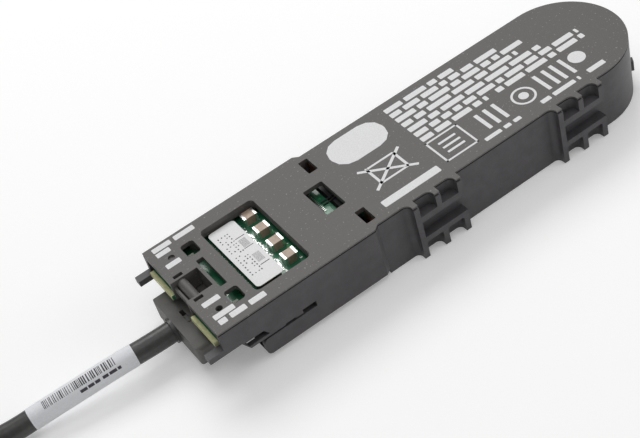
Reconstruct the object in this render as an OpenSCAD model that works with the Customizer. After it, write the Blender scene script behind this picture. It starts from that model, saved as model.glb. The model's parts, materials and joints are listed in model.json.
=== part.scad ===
// Backup battery module for a drive-array controller: a moulded housing with two ladder clips,
// a windowed cover, a charger board, four cells and a plugged-in cable.
// Units are millimetres. The origin is on the underside, on the centre plane, halfway between
// the two ladder clips. +X points to the round tail, +Z up; the ladder clips are on the -Y side.

/* [Body] */
// Overall length, from the cover's front edge to the tip of the round tail
body_len = 150.6; // [142:0.5:170]
// Height of the body at the cell section
body_h = 19.3; // [18.8:0.1:22]
// Distance from the rear ladder clip to the start of the round tail
clip_to_tail = 3.8; // [3:0.1:8]
// Width of the cell section, which is also the diameter of the tail
rear_w = 38; // [37.6:0.1:39]
// Width of the electronics section
front_w = 40.6; // [40.2:0.1:42]
// Length of the electronics section
front_len = 50.1; // [49.5:0.1:52]
// Length of the slanted shoulder between the two sections
shoulder_len = 1.7; // [1:0.1:2.2]
// How much higher the underside of the electronics section lies
floor_step = 1.65; // [1:0.05:2]
// Thickness of the housing's walls
wall = 1.5; // [1.3:0.05:1.7]
// Thickness of the housing's floor
floor_t = 1.5; // [1:0.1:1.8]
// Thickness of the bulkhead and of the cross rib behind the cells
rib_t = 1.2; // [0.8:0.1:1.3]

/* [Cover] */
// Thickness of the cover plate
cover_t = 1.5; // [1.3:0.1:1.7]
// Thickness of the cover's outer lip above the shadow gap
lip_t = 0.5; // [0.3:0.05:0.6]
// Height of the shadow gap between the lip and the housing
groove_h = 0.4; // [0.2:0.05:0.5]
// Depth of the shadow gap
groove_d = 0.5; // [0.3:0.05:0.6]
// Clearance between the cover's locating rib and the housing's walls
fit_gap = 0.15; // [0.05:0.05:0.25]
// Thickness of the cover's locating rib
lock_t = 1.0; // [0.8:0.1:1.2]
// How far the locating rib reaches below the plate
lock_h = 1.1; // [0.6:0.1:1.4]

/* [Cover windows] */
// Distance from the front edge to the main window
win_x = 15.5; // [15:0.1:16]
// Length of the main window along the body
win_len = 17.4; // [17:0.1:18]
// Width of the main window
win_w = 30.3; // [29.8:0.1:31]
// Corner radius of the main window
win_r = 1.5; // [0.5:0.1:2]
// Depth of the rim below the top face
win_rim_h = 2.8; // [2:0.1:3]
// Thickness of the rim
win_rim_t = 1.0; // [0.8:0.1:1.1]
// Distance from the front edge to the two lamp windows
lamp_win_x = 8.7; // [8.4:0.1:9]
// Length of a lamp window along the body
lamp_win_len = 4.1; // [3.6:0.1:4.4]
// Width of a lamp window
lamp_win_w = 5.5; // [5:0.1:6]
// Corner radius of a lamp window
lamp_win_r = 1.0; // [0.4:0.1:1.3]
// Distance of a lamp window's middle from the centre plane
lamp_win_y = 11.65; // [11.4:0.05:12]
// Distance from the front edge to the long sight slot
sight_x = 9.4; // [9.3:0.1:9.8]
// Length of the sight slot along the body
sight_len = 2.2; // [1.8:0.1:2.4]
// Width of the sight slot across the body
sight_w = 13.0; // [12:0.1:13.6]
// Distance from the front edge to the middle window over the board's end
end_win_x = 44.3; // [44:0.1:44.8]
// Length of the middle window along the body
end_win_len = 6.3; // [5.8:0.1:6.4]
// Width of the middle window
end_win_w = 12.1; // [11.5:0.1:12.6]
// Distance from the front edge to the two contact windows
contact_win_x = 49.9; // [49.7:0.1:50.1]
// Length of a contact window along the body
contact_win_len = 3.0; // [2.6:0.1:3.2]
// Width of a contact window
contact_win_w = 5.9; // [5.4:0.1:6.4]
// Distance from the front edge to the two lamp holes
lamp_hole_x = 5.2; // [4.9:0.1:5.5]
// Distance of a lamp hole from the centre plane
lamp_hole_y = 12.75; // [12.4:0.05:13]
// Diameter of a lamp hole
lamp_hole_d = 2.0; // [1.4:0.1:2.4]
// Depth of the blind lamp hole
lamp_hole_blind = 0.6; // [0.3:0.1:0.9]

/* [Latch pocket] */
// Width of the pocket in the cover's front edge
pocket_w = 8.6; // [8:0.1:9]
// Length of the pocket
pocket_len = 8.4; // [8:0.1:8.6]
// Thickness of the pocket's side walls
pocket_wall = 0.7; // [0.5:0.05:0.8]
// Radius of the half-round latch bar across the pocket
bar_r = 1.45; // [1.2:0.05:1.6]
// Distance from the front edge to the middle of the latch bar
bar_x = 3.1; // [2.9:0.1:3.4]
// How far the top of the bar lies below the top face
bar_sink = 0.45; // [0.3:0.05:0.7]
// Length of the relief slots beside the bar
relief_len = 2.8; // [2.2:0.1:3.2]
// Width of the relief slots
relief_w = 1.2; // [0.8:0.1:1.4]

/* [Ladder clips] */
// Distance between the two ladder clips
clip_pitch = 50; // [46:0.5:54]
// Length of a ladder clip
clip_len = 16.2; // [15:0.1:18]
// Thickness of a clip's rib
clip_rib_t = 1.7; // [1.4:0.1:2]
// How far a clip stands out of the wall
clip_out = 2.8; // [2.4:0.1:3.2]
// Radius at the foot of each rib
clip_root_r = 1.6; // [0.8:0.1:2]
// Height of the underside of the lower rail
rail_z = 5.3; // [4.5:0.1:5.6]
// Height of the lower rail
rail_h = 1.8; // [1.4:0.1:2.2]
// Height of the hook channel above the rail
channel_h = 5.7; // [5.2:0.1:6]
// Height of the web above the channel
web_h = 2.0; // [1.6:0.1:2.4]
// Corner radius of the feet
foot_r = 0.7; // [0.4:0.1:0.9]

/* [Front mouth] */
// Distance from the front edge to the floor and the side strips
mouth_len = 10.8; // [10.4:0.1:11.2]
// Height of the skirt's lower edge at the front
skirt_z = 11.3; // [11.1:0.1:11.6]
// Height of the slit between the skirt and the side strip
slit_z = 7.4; // [7.1:0.1:7.6]
// Width of the slit
slit_w = 0.6; // [0.4:0.1:0.8]
// Length of the slit and the slot at its end
slit_len = 17.3; // [16:0.1:19]
// Length of the skirt's level edge, before it slants down to the slit
skirt_len = 5.1; // [4:0.1:5.6]
// Length of the slant
slant_len = 2.0; // [1:0.1:2.6]
// Distance from the front edge to the notch in the slit
notch_x = 18.1; // [17:0.1:19]
// Length of the notch
notch_len = 3.2; // [2:0.1:3.6]
// Height of the notch
notch_h = 1.0; // [0.8:0.1:1.4]
// Length of the slot that ends the slit
slot_len = 4.3; // [3:0.1:4.6]
// Height of the slot
slot_h = 1.8; // [1:0.1:2]
// Length of the slanted vent in the skirt
vent_len = 6.0; // [4:0.1:7]
// Height of the vent
vent_h = 2.0; // [1:0.1:2.2]
// Distance of the vent below the skirt's level edge
vent_drop = 0.4; // [0.3:0.1:0.6]
// Corner radius of the side strip's free end
strip_r = 1.6; // [0.8:0.1:1.8]
// How far the two guide arms reach in front of the cover
arm_out = 4.6; // [4:0.1:6]
// Width of a guide arm
arm_w = 2.5; // [2.2:0.1:2.7]
// Height of a guide arm
arm_h = 1.9; // [1.5:0.1:2.2]

/* [Circuit board] */
// Depth of the board's top face below the cover's top face
board_drop = 4.9; // [4.7:0.1:5.2]
// Thickness of the board
board_t = 1.6; // [1:0.1:1.7]
// Gap between the board's long edges and the walls
board_side_gap = 1.4; // [1:0.1:1.8]
// How far the board reaches in front of the cover
board_out = 0.8; // [0.2:0.1:1.4]
// Gap between the board's rear edge and the bulkhead
board_gap = 1.0; // [0.5:0.1:1.2]
// Width of the notch in the board's front edge
notch_w = 10.2; // [10.1:0.1:11]
// Diameter of the pegs that locate the board
peg_d = 1.8; // [1.4:0.1:2]
// Diameter of the cover's posts that hold the board down
post_d = 3.4; // [3:0.1:3.6]

/* [Parts on the board] */
// Length of a ceramic capacitor, across the body
cap_len = 4.2; // [3.8:0.1:4.5]
// Width of a ceramic capacitor
cap_w = 3.0; // [2.6:0.1:3.2]
// Height of a capacitor stack
cap_h = 2.75; // [2.2:0.05:2.9]
// Spacing of the capacitor stacks
cap_pitch = 6.95; // [6.4:0.05:7]
// Length of the metal end caps of a capacitor
cap_end = 0.7; // [0.5:0.05:0.9]
// Side of a power inductor
inductor_side = 7.4; // [7:0.1:7.6]
// Height of a power inductor
inductor_h = 2.7; // [2.2:0.1:2.8]
// Length of the charger chip
chip_len = 6.4; // [6:0.1:6.8]
// Length of the paper label laid over the tall parts, across the body
label_len = 26.6; // [24:0.1:27.5]
// Width of the label
label_w = 8.6; // [8:0.1:9]
// Thickness of the label
label_t = 0.15; // [0.1:0.05:0.2]
// Pin spacing of the monitor chip
lead_pitch = 0.65; // [0.6:0.05:0.7]
// Pins along each long side of the monitor chip
lead_count = 14; // [10:1:14]
// Side of a status lamp
lamp_side = 1.6; // [1.2:0.1:2]

/* [Plug and socket] */
// Width of the cable plug
plug_w = 25.7; // [24.5:0.1:26]
// Height of the cable plug
plug_h = 6.5; // [6.2:0.1:6.8]
// Depth of the plug's top face below the board's underside
plug_drop = 2.3; // [2.2:0.1:2.5]
// How far the plug stands in front of the cover
plug_out = 4.6; // [4.2:0.1:5]
// Length of the plug's head
plug_len = 10.4; // [9.8:0.1:10.8]
// Radius of the plug's two front corners, seen from above
plug_corner_r = 1.8; // [0.8:0.1:2.4]
// Length of the plug's nose inside the socket
nose_len = 4.2; // [3.6:0.1:4.6]
// Height of the plug's nose
nose_h = 4.6; // [4.2:0.1:4.9]
// Thickness of the socket's walls
socket_wall = 1.0; // [0.8:0.1:1.1]
// Clearance of the nose in the socket
nose_gap = 0.2; // [0.1:0.05:0.3]
// Length of the socket
socket_len = 9; // [8:0.2:9.6]
// Number of contacts
contact_count = 15; // [9:1:17]
// Spacing of the contacts
contact_pitch = 1.27; // [1.2:0.01:1.3]
// Side of a contact pin
pin_side = 0.4; // [0.3:0.05:0.5]

/* [Cells] */
// Diameter of a cell with its sleeve
cell_d = 14.5; // [14:0.1:14.6]
// Length of a cell
cell_len = 28.5; // [27:0.1:29]
// Thickness of a cell's sleeve
sleeve_t = 0.15; // [0.1:0.05:0.25]
// Gap between neighbouring cells
cell_gap = 0.4; // [0.2:0.05:0.8]
// Gap around the cells in their cradle
cradle_gap = 0.2; // [0.1:0.05:0.3]
// Distance of the cradle ribs from the centre plane
cradle_y = 9; // [7:0.5:11]
// Thickness of the nickel straps
strap_t = 0.2; // [0.15:0.05:0.3]
// Width of the nickel straps
strap_w = 5; // [4:0.5:6]

/* [Cell contacts] */
// Thickness of the copper contact plates
plate_t = 0.3; // [0.2:0.05:0.4]
// Width of the copper contact plates
plate_w = 7; // [6.4:0.1:7.2]
// Gap between the bulkhead and the contact plates
plate_gap = 1.1; // [0.8:0.1:1.3]
// Width of the lugs from the plates to the board
lug_w = 3; // [2.4:0.1:3.4]

/* [Cable] */
// Diameter of the cable
cable_d = 6.2; // [6:0.1:6.4]
// Length of the collar around the cable, at the plug
collar_len = 1; // [0.6:0.1:2]
// Depth to which the cable's conductors reach into the plug
bundle_len = 3; // [2:0.1:3.2]
// Thickness of the ties around the coil
tie_t = 0.5; // [0.4:0.1:0.6]
// Width of the ties
tie_w = 4; // [3:0.5:5]
// Width of the end plug's body
end_w = 12.4; // [11:0.1:13]
// Height of the end plug's body
end_h = 7; // [6.8:0.1:7.4]
// Length of the end plug's body
end_len = 13; // [11:0.5:15]

/* [Hidden] */
$fn = 48;
eps = 0.01;
sides = [-1, 1];

// Colours
col_housing = "#4d4b4c";
col_cover = "#5c5a58";
col_board = "#1f6b3c";
col_black = "#222222";
col_metal = "#c8c6c0";
col_copper = "#b5673a";
col_gold = "#c9a24a";
col_white = "#f4f4f2";

// Places along the body
front_reach = body_len - rear_w / 2 - clip_to_tail - (clip_pitch + clip_len) / 2;
x0 = -front_reach;
x_shoulder = x0 + front_len;
x_rear = x_shoulder + shoulder_len;
x_tail = x0 + body_len - rear_w / 2;
tail_r = rear_w / 2;
bulk_x = x_rear - rib_t;
shoulder_k = tan(atan((front_w - rear_w) / 2 / shoulder_len) / 2);
in_front = front_w / 2 - wall;
in_rear = rear_w / 2 - wall;

// Heights
z_top = body_h;
z_lip = z_top - lip_t;
z_seat = z_lip - groove_h;
z_under = z_top - cover_t;
z_board_top = z_top - board_drop;
z_board = z_board_top - board_t;
z_floor = floor_step + floor_t;
z_bulk = z_board_top - 0.1;
z_rib = 4.5;

// Board
board_w = 2 * (in_front - board_side_gap);
board_x = x0 - board_out;
board_end = bulk_x - board_gap;
notch_end = x0 + pocket_len + pocket_wall + 0.3;
ledge_y = in_front - 3.8;
ledge_h = 1.5;
peg_rise = 0.9;
peg_y = in_front - 2.7;
pin_row_x = x0 + 13.6;
rear_peg_gap = 4.4;
peg_xs = [pin_row_x, board_end - rear_peg_gap];
peg_gap = 0.1;
seat_inset = wall + fit_gap;

// Ladder clips
rib_count = 3;
rib_step = (clip_len - clip_rib_t) / (rib_count - 1);
wall_y = -rear_w / 2;
clip_y = wall_y - clip_out;
web_z = rail_z + rail_h + channel_h;
finger_back = 0.3;
finger_r = 2;

// Cells: the last two values are the middle of the valley for the thermistor and its spacing
cell_r = cell_d / 2;
can_r = cell_r - sleeve_t;
cell_z = floor_t + cradle_gap + cell_r;
plate_x = x_rear + plate_gap;
plate_y = in_rear - 0.1 - plate_w / 2;
cell_pitch = cell_d + cell_gap;
cell_start = plate_x + plate_t + 1 + cell_r;
cell_x = [for (i = [0:3]) cell_start + i * cell_pitch];
cross_x = cell_x[3] + cell_r + 0.6;
cap_r = 2.8;
cap_rise = 0.9;
washer_r = 6.4;
washer_t = 0.3;
cell_y = cell_len / 2;
strap_z = cell_z + 1;
strap_h = 3;
return_y = in_rear - 1;
fuse_x = cross_x + rib_t + 2.4;
fuse_w = 11;
fuse_h = 8;
fuse_t = 1.6;
fuse_end = fuse_x + 3 * strap_t + fuse_t;
foam_w = 18;
foam_gap = 0.1;
foam_over = 4;
tail_foam_x = fuse_end + 2;
tail_foam_end = x_tail + tail_r / 2;
bead_r = 1.5;
bead_reach = cell_r + bead_r + 0.15;
bead_x = cell_x[0] - bead_reach * cos(40);
bead_z = cell_z + bead_reach * sin(40);
bead_y = 3;

// Plug and socket
plug_x = x0 - plug_out;
plug_top = z_board - plug_drop;
plug_z = plug_top - plug_h;
plug_end = plug_x + plug_len;
nose_w = plug_w - 2 * socket_wall - 1.2;
nose_end = plug_end + nose_len;
nose_z = plug_z + (plug_h - nose_h) / 2;
row_z = plug_z + plug_h / 2;
socket_x = plug_end + 0.3;
socket_end = socket_x + socket_len;
pin_ys = [for (i = [0:contact_count - 1]) (i - (contact_count - 1) / 2) * contact_pitch];
pin_rear = socket_end - 1.5;
contact_side = 0.9;
bore_side = 0.5;
cable_y = 1.4;
collar_t = 0.6;
bundle_d = 4.8;
key_d = 0.25;

// Parts on the board: middles, measured from the front edge and the centre plane
label_x = x0 + win_x + 1.5;
label_y = 1;
inductor_x = label_x + label_w / 2;
inductor_ys = [label_y - 9, label_y - 0.8];
chip_y = label_y + 8.4;
cap_x = x0 + win_x + win_len - 3.1;
cap_count = 4;
cap_y = 13.1;
cap_ys = [for (i = [0:cap_count - 1]) cap_y - i * cap_pitch];
monitor_w = 4.4;
monitor_x = board_end - 3.4 - monitor_w;
monitor_y = 4.6;
monitor_len = lead_count * lead_pitch + 0.6;
lead_w = 0.24;
inductor_lid = 0.4;
lead_reach = 1;
lamp_row_x = x0 + lamp_win_x + lamp_win_len / 2;
lamp_places = [[lamp_row_x, 13.7], [lamp_row_x, -9.9], [x0 + lamp_hole_x, -lamp_hole_y]];

// The cable's route, from where it leaves the plug to the coil, and on to the end plug
lead_route = [[0, 0, 7.1], [-4, 0, 7.1], [-9, 0.2, 7.1], [-15, 0.7, 7], [-22, 1.4, 6.6],
    [-31, 2.3, 5.9], [-40, 3.4, 5], [-48, 4.3, 4.2], [-52.2, 5.1, 3.9], [-56.3, 6.5, 3.7],
    [-60.2, 8.3, 3.6], [-64.1, 10.2, 3.6], [-68, 11.4, 3.6], [-71.4, 12.1, 3.6], [-74.4, 12.3, 3.6],
    [-76, 12.3, 3.6]];
tail_route = [[-117, 12.3, 9.8], [-120, 12.3, 9.8], [-125.7, 11.5, 9.5], [-131, 9.3, 8.6],
    [-135.6, 5.9, 7.4], [-139, 1.3, 6], [-141.2, -4, 4.8], [-142, -9.7, 4],
    [-142, -15.7, 3.6], [-142, -22.2, 3.6]];
cable_z = lead_route[0].z;
coil_x = -96.5;
coil_y = -19.7;
coil_r = 32;
coil_layers = 2;
coil_stub = 20.5;
coil_h = coil_layers * cable_d;
tie_angles = [210, 330];
cable_sides = 12;

housing();
top_cover();
circuit_board();
power_inductors();
inductor_windings();
charger_chip();
part_label();
ceramic_capacitors();
capacitor_ends();
monitor_chip();
chip_leads();
status_lamps();
board_socket();
socket_pins();
plug_shell();
plug_contacts();
contact_plate_positive();
contact_plate_negative();
cell_1();
cell_2();
cell_3();
cell_4();
cell_sleeves();
cell_washers();
cell_links();
end_strap();
fuse_strap();
return_strap();
resettable_fuse();
thermistor();
foam_pad();
tail_foam();
conductor_bundle();
cable_collar();
cable_lead();
cable_coil();
cable_tail();
coil_ties();
end_plug_body();
end_plug_contacts();

// ---- Shared shapes ----

// A block between two opposite corners
module slab(lo, hi) {
    translate(lo) cube(hi - lo);
}

// A rectangle with round corners between two opposite corners
module round_rect(lo, hi, r) {
    translate([lo.x + r, lo.y]) square([hi.x - lo.x - 2 * r, hi.y - lo.y]);
    translate([lo.x, lo.y + r]) square([hi.x - lo.x, hi.y - lo.y - 2 * r]);
    for (x = [lo.x + r, hi.x - r], y = [lo.y + r, hi.y - r]) translate([x, y]) circle(r);
}

// A block whose four upright edges are round
module round_slab(lo, hi, r) {
    translate([0, 0, lo.z]) linear_extrude(hi.z - lo.z) round_rect(lo, hi, r);
}

// A block that is mirrored to both sides of the centre plane
module both_slabs(lo, hi) {
    slab(lo, hi);
    mirror([0, 1, 0]) slab(lo, hi);
}

// An outline drawn in X and Z, carried through from one Y to another
module across(y1, y2) {
    translate([0, y2, 0]) rotate([90, 0, 0]) linear_extrude(y2 - y1) children();
}

// The body's outline seen from above, moved inwards by d
module plan(d) {
    shift = shoulder_k * d;
    yf = front_w / 2 - d;
    yr = rear_w / 2 - d;
    polygon([[x0 + d, yf], [x_shoulder - shift, yf], [x_rear - shift, yr], [x_tail, yr],
        [x_tail, -yr], [x_rear - shift, -yr], [x_shoulder - shift, -yf], [x0 + d, -yf]]);
    translate([x_tail, 0]) circle(tail_r - d, $fn = 96);
}

// The same outline, only between two places along the body
module plan_between(d, from, to) {
    intersection() {
        plan(d);
        translate([from, -front_w]) square([to - from, 2 * front_w]);
    }
}

// ---- Housing ----

module housing() {
    color(col_housing) {
        difference() {
            union() {
                shell();
                for (x = [-0.5, 0.5]) translate([x * clip_pitch, 0, 0]) ladder_clip();
            }
            across(-front_w, front_w) mouth_outline();
        }
        guide_arms();
        board_ledges();
        cell_cradle();
        gate_tab();
    }
}

// The tub with its walls, floor and bulkhead
module shell() {
    difference() {
        linear_extrude(z_seat) plan(0);
        slab([x0 - 1, -front_w, -1], [x_rear, front_w, floor_step]);
        translate([0, 0, z_floor]) linear_extrude(z_top) plan_between(wall, x0, bulk_x);
        translate([0, 0, floor_t]) linear_extrude(z_top) plan_between(wall, x_rear, x_tail + tail_r);
        slab([x0 - 1, -in_front, z_floor], [x0 + wall + eps, in_front, z_top]);
        translate([0, 0, z_bulk]) linear_extrude(z_top) plan_between(wall, bulk_x - eps, x_rear + eps);
    }
}

// What is left out of the side walls and the floor at the front, seen from the side
module mouth_outline() {
    slit_top = slit_z + slit_w;
    slit_end = x0 + mouth_len + slit_len;
    difference() {
        translate([x0 - 1, -1]) square([slit_end - x0 + 1, skirt_z + 1]);
        polygon([[x0 + skirt_len, z_top], [x0 + skirt_len, skirt_z],
            [x0 + skirt_len + slant_len, slit_top], [slit_end + 1, slit_top], [slit_end + 1, z_top]]);
        round_rect([x0 + mouth_len, floor_step], [slit_end + 5, slit_z], strip_r);
    }
    translate([x0 + notch_x, slit_z]) square([notch_len, notch_h]);
    translate([slit_end - slot_len, slit_z]) square([slot_len, slot_h]);
    translate([x0 + skirt_len + 0.7, skirt_z - vent_drop])
        polygon([[0, 0], [vent_len, 0], [vent_len + 1.4, -vent_h], [1, -vent_h]]);
}

// Two arms that reach forward beside the board
module guide_arms() {
    outer = front_w / 2;
    both_slabs([x0 - arm_out, outer - arm_w, skirt_z], [x0 + 3, outer, skirt_z + arm_h]);
}

// Ledges along both walls that carry the board, with pegs through it
module board_ledges() {
    both_slabs([x0, ledge_y, z_board - ledge_h], [bulk_x + eps, in_front + eps, z_board]);
    for (x = peg_xs, s = sides) translate([x, s * peg_y, z_board - eps])
        cylinder(d = peg_d, h = board_t + peg_rise);
}

// Two scalloped ribs under the cells, stops between their ends, and the cross rib behind them
module cell_cradle() {
    difference() {
        for (s = sides) slab([x_rear - eps, s * cradle_y - rib_t / 2, floor_t - eps],
            [cross_x + eps, s * cradle_y + rib_t / 2, z_rib]);
        for (x = cell_x) translate([x, 0, cell_z]) rotate([90, 0, 0])
            cylinder(r = cell_r + cradle_gap, h = rear_w, center = true, $fn = 72);
    }
    for (i = [0:2])
        both_slabs([cell_x[i] + cell_pitch / 2 - rib_t / 2, cell_y + 1, floor_t - eps],
            [cell_x[i] + cell_pitch / 2 + rib_t / 2, in_rear + eps, cell_z]);
    slab([cross_x, -in_rear - eps, floor_t - eps], [cross_x + rib_t, in_rear + eps, cell_z]);
}

// One ladder clip on the -Y wall, drawn about its own middle
module ladder_clip() {
    rail_top = rail_z + rail_h;
    start = -clip_len / 2;
    difference() {
        slab([start, clip_y, 0], [-start, wall_y + eps, rail_top]);
        for (i = [0:rib_count - 2]) across(clip_y - 1, wall_y) round_rect(
            [start + i * rib_step + clip_rib_t, -2], [start + (i + 1) * rib_step, rail_z], foot_r);
    }
    slab([start, clip_y, web_z], [-start, wall_y + eps, web_z + web_h]);
    linear_extrude(z_seat) translate([start, 0]) rib_plan(clip_out, clip_root_r);
    for (i = [1:rib_count - 1]) translate([start + i * rib_step, 0, 0]) {
        linear_extrude(rail_top) rib_plan(clip_out, clip_root_r);
        translate([0, 0, web_z]) linear_extrude(z_seat - web_z) rib_plan(clip_out, clip_root_r);
    }
}

// A rib seen from above: straight on its +X side, with a round foot on its -X side
module rib_plan(out, r) {
    translate([0, wall_y - out]) square([clip_rib_t, out + eps]);
    difference() {
        translate([-r, wall_y - r]) square([r + eps, r + eps]);
        translate([-r, wall_y - r]) circle(r);
    }
}

// The little tab that the moulding left on the tail
module gate_tab() {
    translate([x_tail, 0, 0]) rotate(-30) slab([tail_r - 0.5, -1, 4], [tail_r + 0.9, 1, 7.5]);
}

// ---- Cover ----

module top_cover() {
    color(col_cover) {
        difference() {
            union() {
                cover_plate();
                cover_fingers();
                cover_posts();
                window_rim();
                pocket_walls();
            }
            cover_windows();
        }
        latch_bar();
    }
}

// The plate in its three steps, and the locating rib below it
module cover_plate() {
    translate([0, 0, z_lip]) linear_extrude(lip_t) plan(0);
    translate([0, 0, z_seat]) linear_extrude(groove_h + eps) plan(groove_d);
    translate([0, 0, z_under]) linear_extrude(z_seat - z_under + eps) plan(seat_inset);
    translate([0, 0, z_under - lock_h]) linear_extrude(lock_h + eps) difference() {
        plan(seat_inset);
        plan(seat_inset + lock_t);
    }
    slab([x0, -in_front + fit_gap, z_under], [x0 + 2, in_front - fit_gap, z_top]);
}

// Fingers that lie over the ribs of the ladder clips
module cover_fingers() {
    for (x = [-0.5, 0.5], i = [0:rib_count - 1])
        translate([x * clip_pitch - clip_len / 2 + i * rib_step, 0, z_lip])
            linear_extrude(lip_t) rib_plan(clip_out - finger_back, finger_r);
}

// Hollow posts that hold the board down on its ledges
module cover_posts() {
    for (x = peg_xs, s = sides) translate([x, s * peg_y, z_board_top]) difference() {
        cylinder(d = post_d, h = z_under - z_board_top + eps);
        translate([0, 0, -eps]) cylinder(d = peg_d + 2 * peg_gap, h = peg_rise + 0.2);
    }
}

// The deep rim around the main window
module window_rim() {
    lo = [x0 + win_x - win_rim_t, -win_w / 2 - win_rim_t, z_top - win_rim_h];
    hi = [x0 + win_x + win_len + win_rim_t, win_w / 2 + win_rim_t, z_under + eps];
    round_slab(lo, hi, win_r + win_rim_t);
}

// Walls around the latch pocket, down through the notch in the board
module pocket_walls() {
    y = pocket_w / 2;
    slab([x0, -y - pocket_wall, z_board + 0.3],
        [x0 + pocket_len + pocket_wall, y + pocket_wall, z_top]);
}

// Everything that is cut through the cover
module cover_windows() {
    low = plug_top;
    high = z_top + 1;
    front_hole([win_x, -win_w / 2], [win_x + win_len, win_w / 2], win_r);
    for (s = sides) {
        y = s * lamp_win_y - lamp_win_w / 2;
        front_hole([lamp_win_x, y], [lamp_win_x + lamp_win_len, y + lamp_win_w], lamp_win_r);
        cy = s * plate_y - contact_win_w / 2;
        front_hole([contact_win_x, cy], [contact_win_x + contact_win_len, cy + contact_win_w], 0.3);
        ry = s * (pocket_w / 2 + pocket_wall + relief_w / 2) - relief_w / 2;
        front_hole([bar_x - relief_len / 2, ry], [bar_x + relief_len / 2, ry + relief_w], 0.2);
    }
    front_hole([sight_x, -sight_w / 2], [sight_x + sight_len, sight_w / 2], 0.3);
    front_hole([end_win_x, -end_win_w / 2], [end_win_x + end_win_len, end_win_w / 2], 0.5);
    slab([x0 - 1, -pocket_w / 2, low], [x0 + pocket_len, pocket_w / 2, high]);
    both_slabs([plate_x - plate_gap, plate_y - plate_w / 2 - 0.2, low],
        [plate_x + plate_t + 0.4, in_rear, z_under]);
    translate([x0 + lamp_hole_x, -lamp_hole_y, low]) cylinder(d = lamp_hole_d, h = high - low);
    translate([x0 + lamp_hole_x, lamp_hole_y, z_top - lamp_hole_blind])
        cylinder(d = lamp_hole_d, h = high - z_top + lamp_hole_blind);
}

// One rounded hole through the plate, placed from the front edge
module front_hole(lo, hi, r) {
    translate([x0, 0, plug_top]) linear_extrude(z_top) round_rect(lo, hi, r);
}

// The half-round bar that the plug's latch hooks on, with the thin flange before it
module latch_bar() {
    y = pocket_w / 2 + eps;
    z = z_top - bar_sink - bar_r;
    translate([x0 + bar_x, 0, z]) rotate([90, 0, 0]) cylinder(r = bar_r, h = 2 * y, center = true);
    slab([x0 + bar_x - bar_r, -y, z - 2], [x0 + bar_x + bar_r, y, z]);
    slab([x0 + 0.6, -y, z - 2], [x0 + bar_x, y, z - 1.4]);
    slab([x0 + 0.6, -y, z - 2], [x0 + 1.2, y, z]);
}

// ---- Circuit board and what is on it ----

module circuit_board() {
    color(col_board) difference() {
        slab([board_x, -board_w / 2, z_board], [board_end, board_w / 2, z_board_top]);
        slab([board_x - 1, -notch_w / 2, z_board - 1], [notch_end, notch_w / 2, z_board_top + 1]);
        for (x = peg_xs, s = sides) translate([x, s * peg_y, z_board - 1])
            cylinder(d = peg_d + 2 * peg_gap, h = board_t + 2);
        for (y = pin_ys) translate([pin_rear, y, z_board - 1]) cylinder(d = 0.8, h = board_t + 2, $fn = 24);
    }
}

// Two shielded inductors side by side under the label
module power_inductors() {
    color(col_black) for (y = inductor_ys) translate([inductor_x, y, z_board_top]) difference() {
        round_slab([-inductor_side / 2, -inductor_side / 2, 0], [inductor_side / 2, inductor_side / 2, inductor_h], 1);
        translate([0, 0, inductor_lid]) winding_ring(0);
        for (s = sides) slab([-2, s * inductor_side / 2 - 1.5, inductor_lid], [2, s * inductor_side / 2 + 1.5, inductor_h - inductor_lid]);
    }
}

// The ring that a winding fills, made smaller by a clearance
module winding_ring(gap) {
    difference() {
        cylinder(r = inductor_side / 2 - 0.6 - gap, h = inductor_h - 2 * inductor_lid);
        translate([0, 0, -eps]) cylinder(r = 1.4 + gap, h = inductor_h);
    }
}

// Their copper windings
module inductor_windings() {
    color(col_copper) for (y = inductor_ys) translate([inductor_x, y, z_board_top + inductor_lid])
        winding_ring(0.1);
}

module charger_chip() {
    color(col_black) slab([inductor_x - chip_len / 2, chip_y - chip_len / 2, z_board_top],
        [inductor_x + chip_len / 2, chip_y + chip_len / 2, z_board_top + inductor_h]);
}

// The plain paper label that lies over the inductors and the chip
module part_label() {
    z = z_board_top + inductor_h;
    color(col_white) round_slab([label_x, label_y - label_len / 2, z],
        [label_x + label_w, label_y + label_len / 2, z + label_t], 1.2);
}

// Four stacks of two ceramic capacitors, standing side by side
module ceramic_capacitors() {
    color("#a58b6a") for (y = cap_ys)
        slab([cap_x - cap_len / 2 + cap_end, y - cap_w / 2, z_board_top],
            [cap_x + cap_len / 2 - cap_end, y + cap_w / 2, z_board_top + cap_h]);
}

// Their metal end caps
module capacitor_ends() {
    color(col_metal) for (y = cap_ys, s = sides) {
        x = cap_x + s * (cap_len - cap_end) / 2;
        slab([x - cap_end / 2, y - cap_w / 2, z_board_top], [x + cap_end / 2, y + cap_w / 2, z_board_top + cap_h]);
    }
}

// The chip that watches the cells, at the rear of the board
module monitor_chip() {
    color(col_black) slab([monitor_x, monitor_y - monitor_len / 2, z_board_top + 0.1],
        [monitor_x + monitor_w, monitor_y + monitor_len / 2, z_board_top + 1.1]);
}

// Its pins, along both long sides
module chip_leads() {
    color(col_metal) for (i = [0:lead_count - 1]) {
        y = monitor_y + (i - (lead_count - 1) / 2) * lead_pitch;
        for (x = [monitor_x - lead_reach, monitor_x + monitor_w])
            slab([x, y - lead_w / 2, z_board_top], [x + lead_reach, y + lead_w / 2, z_board_top + 0.2]);
    }
}

// Status lamps below the lamp windows
module status_lamps() {
    color(col_white) for (p = lamp_places) translate([p.x, p.y, z_board_top])
        slab([-lamp_side / 2, -lamp_side / 4, 0], [lamp_side / 2, lamp_side / 4, 0.8]);
}

// ---- Plug and socket ----

// The socket under the board; its mouth faces the plug
module board_socket() {
    y = nose_w / 2 + nose_gap;
    z1 = nose_z - nose_gap;
    z2 = nose_z + nose_h + nose_gap;
    color(col_black) difference() {
        slab([socket_x, -y - socket_wall, z1 - socket_wall], [socket_end, y + socket_wall, z_board]);
        slab([socket_x - 1, -y, z1], [nose_end + 0.3, y, z2]);
        socket_pin_rows();
    }
}

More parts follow.
